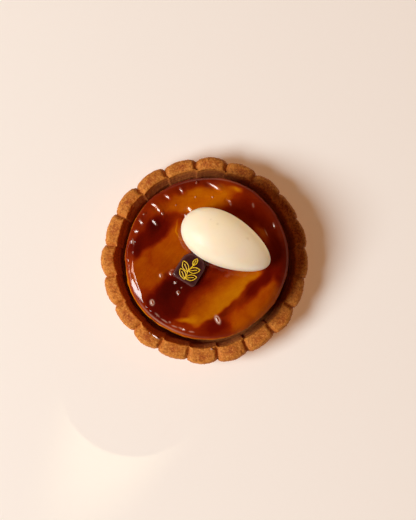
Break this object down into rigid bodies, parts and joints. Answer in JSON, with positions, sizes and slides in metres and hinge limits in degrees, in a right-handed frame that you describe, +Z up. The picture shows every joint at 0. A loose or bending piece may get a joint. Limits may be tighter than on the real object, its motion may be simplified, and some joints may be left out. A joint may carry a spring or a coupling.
{
  "type": "individual apple tarte tatin with cream",
  "caption": "Round individual apple tart: fluted shortcrust shell holding a proud, glazed disc of caramelised apple, topped with an oval of cream and a small arch-topped chocolate tablet.",
  "frame": {"origin": "centre of the crust's flat underside, on the surface that the tart rests on", "axes": "+Z up, square to the underside; +Y towards the back, which is the top of the picture; +X to the right, the side that the pointed end of the cream is on"},
  "size_m": [0.0801, 0.0803, 0.0397],
  "materials": {
    "crust": "baked shortcrust, matt and sandy, golden brown and darker inside; matte_plastic stands in for pastry",
    "apple": "caramelised apple under a clear glaze, amber to dark red-brown, very glossy; gloss_plastic stands in for it",
    "cream": "smooth ivory cream, satin; matte_plastic stands in for it",
    "chocolate": "dark chocolate, satin, with a fine gold-coloured line print; gloss_plastic stands in for it"
  },
  "bodies": {
    "root": {"crust": "crust", "apple_disc": "apple", "cream_quenelle": "cream", "chocolate_tablet": "chocolate"}
  },
  "joints": []
}
